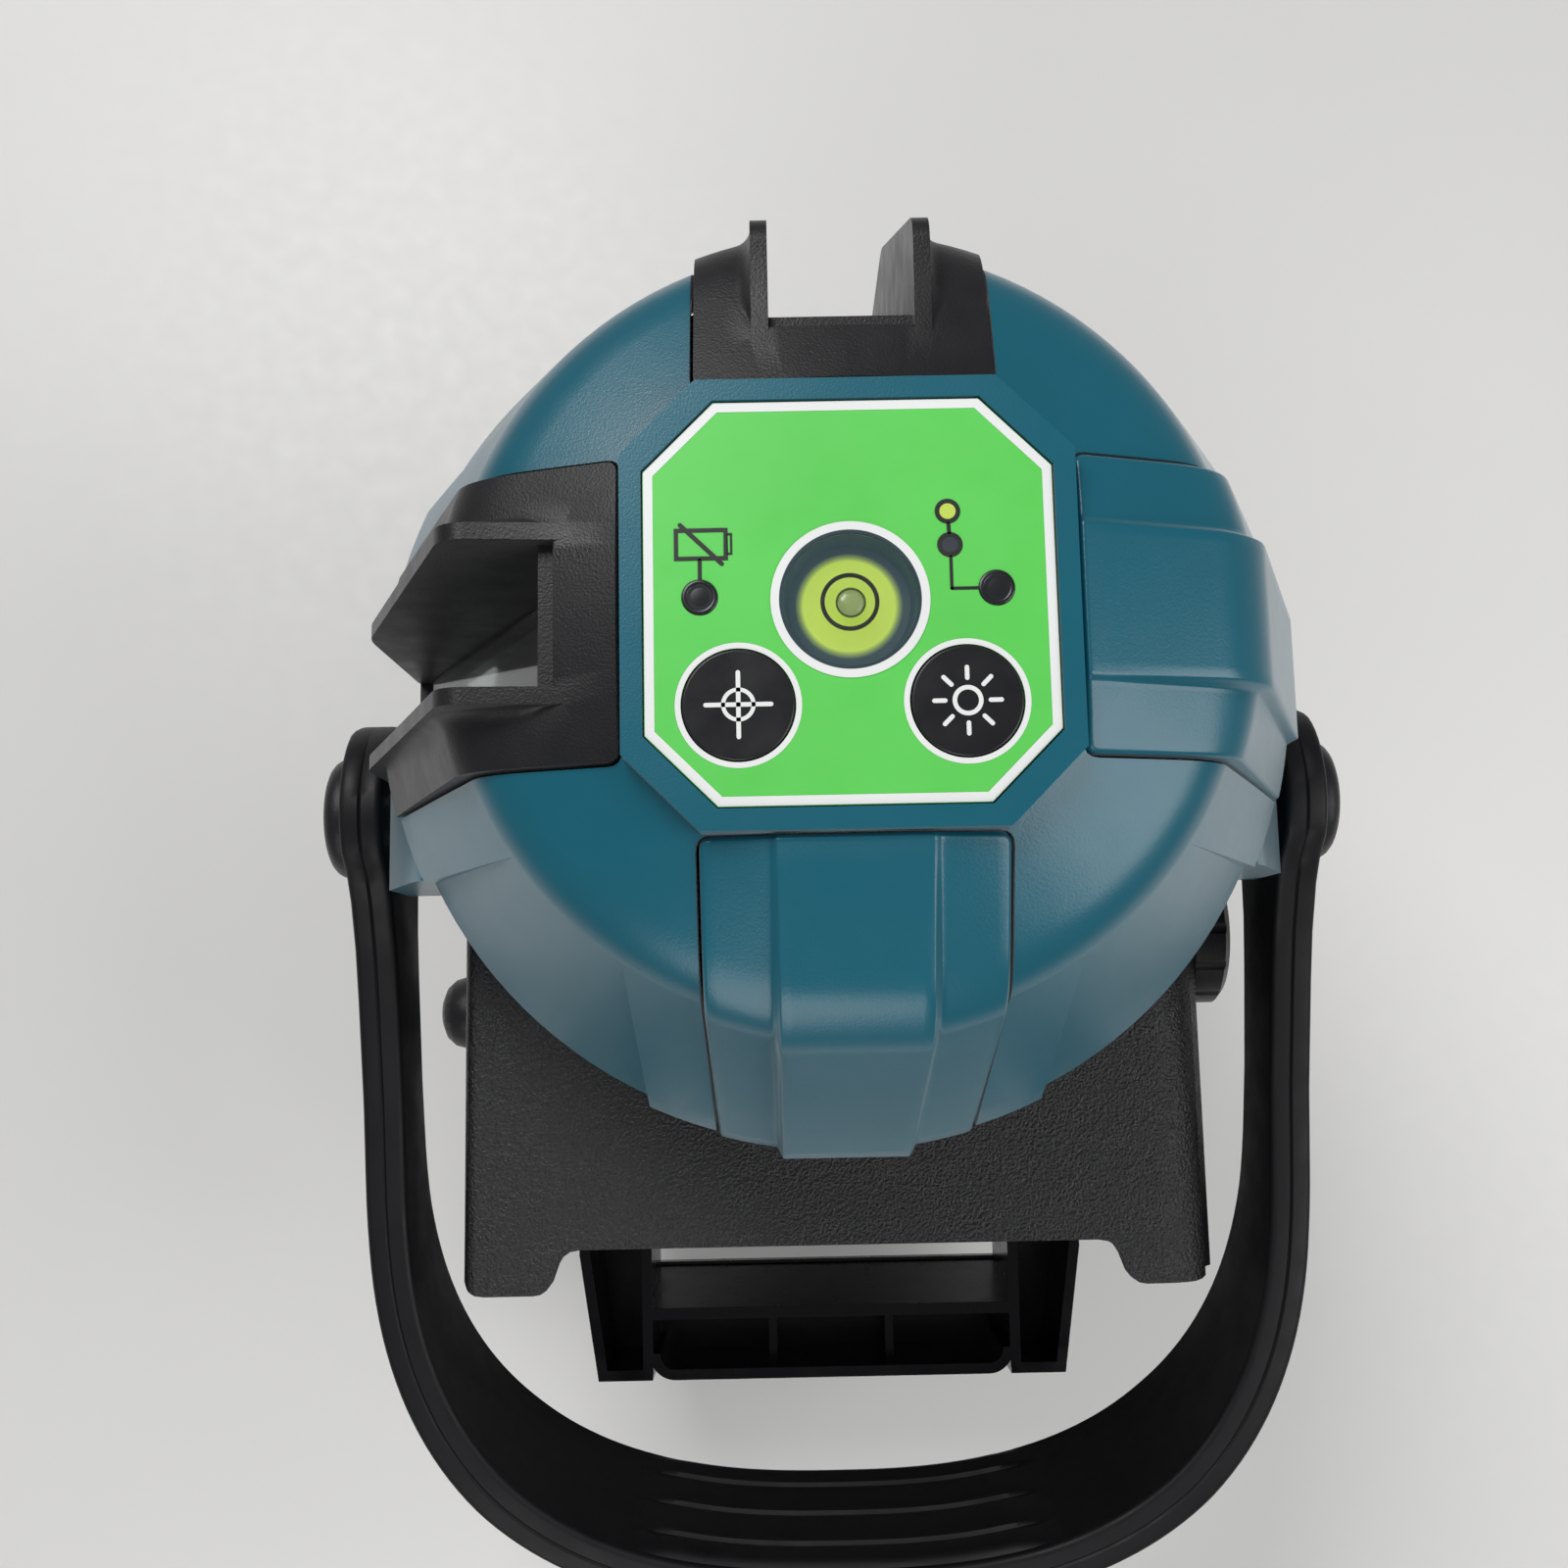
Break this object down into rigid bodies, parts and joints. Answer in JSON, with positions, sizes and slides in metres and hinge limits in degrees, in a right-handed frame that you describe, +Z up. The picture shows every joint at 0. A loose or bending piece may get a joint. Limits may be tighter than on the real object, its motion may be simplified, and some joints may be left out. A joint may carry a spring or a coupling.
{
  "type": "self-levelling laser level",
  "caption": "Multi-line laser level on a turning base, with a domed head, two guarded beam windows, a keypad with a bullseye vial, a battery bay and a folding strap handle.",
  "frame": {"origin": "centre of the tripod thread's mouth, in the plane that the feet stand on", "axes": "+Z up along the turntable axis, +Y towards the front beam window, -Y the battery side, +X to the right"},
  "size_m": [0.159, 0.206, 0.2034],
  "materials": {
    "teal_plastic": "satin moulded plastic with a fine texture",
    "black_plastic": "matte moulded plastic with a leather-fine texture",
    "black_rubber": "matte rubber",
    "alloy": "machined",
    "steel": "turned",
    "brass": "turned",
    "copper": "copper plate",
    "white_plastic": "white plastic",
    "terminal_plastic": "yellow terminal plastic",
    "panel_green": "printed green membrane with a white border",
    "button_black": "black printed membrane",
    "smoked_lens": "smoked indicator lens",
    "circuit_board": "green circuit board",
    "vial_liquid": "yellow-green vial liquid",
    "clear_glass": "clear glass"
  },
  "bodies": {
    "base": {"base_plate": "black_plastic", "rubber_feet": "black_rubber", "tripod_insert": "brass", "spindle": "steel", "fine_wheel": "brass", "bearing_washer": "white_plastic", "angle_ring": "alloy"},
    "turret": {"chassis_floor": "alloy", "chassis_frame": "alloy", "front_shell": "black_plastic", "rear_shell": "black_plastic", "battery_bay": "black_plastic", "battery_rails": "black_plastic", "terminal_block": "terminal_plastic", "terminal_blades": "brass", "battery_tray": "black_plastic", "head_shell": "teal_plastic", "rim_seal": "black_rubber", "control_panel": "panel_green", "status_lights": "smoked_lens", "key_board": "circuit_board", "vial_cup": "white_plastic", "vial_liquid": "vial_liquid", "vial_lens": "clear_glass", "front_window_housing": "black_plastic", "left_window_housing": "black_plastic", "front_glass": "clear_glass", "left_glass": "clear_glass", "front_gasket": "black_rubber", "left_gasket": "black_rubber", "right_cover": "teal_plastic", "rear_cover": "teal_plastic", "pivot_pins": "steel", "pivot_caps": "black_plastic", "pivot_washers": "steel", "main_board": "circuit_board", "board_parts": "black_plastic", "damping_plate": "copper", "lock_guide": "steel", "worm_bracket": "alloy", "body_screws": "steel"},
    "line_button": {"line_button": "button_black"},
    "light_button": {"light_button": "button_black"},
    "handle": {"handle": "black_rubber", "handle_grip": "black_rubber"},
    "lock_dial": {"lock_dial": "black_plastic", "lock_shaft": "steel"},
    "lock_slider": {"lock_slider": "white_plastic"},
    "fine_knob": {"fine_knob": "black_plastic", "worm_shaft": "steel"},
    "gimbal": {"gimbal_ring": "alloy", "gimbal_pins": "steel"},
    "pendulum": {"pendulum_stem": "alloy", "pendulum_pins": "steel", "front_laser": "alloy", "left_laser": "alloy", "horizontal_laser": "alloy", "balance_screws": "steel", "pendulum_bob": "brass", "damping_magnets": "steel"}
  },
  "joints": [
    {"name": "turntable_turn", "type": "hinge", "parent": "base", "child": "turret", "pos_m": [0, 0, 0.018], "axis": [0, 0, 1], "continuous": true},
    {"name": "handle_swing", "type": "hinge", "parent": "turret", "child": "handle", "pos_m": [0, -0.0138, 0.1225], "axis": [-1, 0, 0], "range_deg": [0, 105]},
    {"name": "line_press", "type": "slide", "parent": "turret", "child": "line_button", "axis": [0, 0, -1], "range_m": [0, 0.0004], "stiffness_N_per_m": 900},
    {"name": "light_press", "type": "slide", "parent": "turret", "child": "light_button", "axis": [0, 0, -1], "range_m": [0, 0.0004], "stiffness_N_per_m": 900},
    {"name": "lock_turn", "type": "hinge", "parent": "turret", "child": "lock_dial", "pos_m": [0.061, -0.0335, 0.097], "axis": [1, 0, 0], "range_deg": [0, 90]},
    {"name": "lock_slide", "type": "slide", "parent": "turret", "child": "lock_slider", "axis": [-1, 0, 0], "range_m": [0, 0.0061]},
    {"name": "fine_turn", "type": "hinge", "parent": "turret", "child": "fine_knob", "pos_m": [-0.062, -0.0452, 0.05], "axis": [-1, 0, 0], "continuous": true},
    {"name": "gimbal_tilt", "type": "hinge", "parent": "turret", "child": "gimbal", "pos_m": [0, 0, 0.17], "axis": [1, 0, 0], "range_deg": [-4, 4]},
    {"name": "pendulum_tilt", "type": "hinge", "parent": "gimbal", "child": "pendulum", "pos_m": [0, 0, 0.17], "axis": [0, 1, 0], "range_deg": [-4, 4]}
  ],
  "couplings": [
    {"joint": "lock_slide", "follows": "lock_turn", "m_per_rad": 0.00382},
    {"joint": "fine_turn", "follows": "turntable_turn", "ratio": 64}
  ]
}
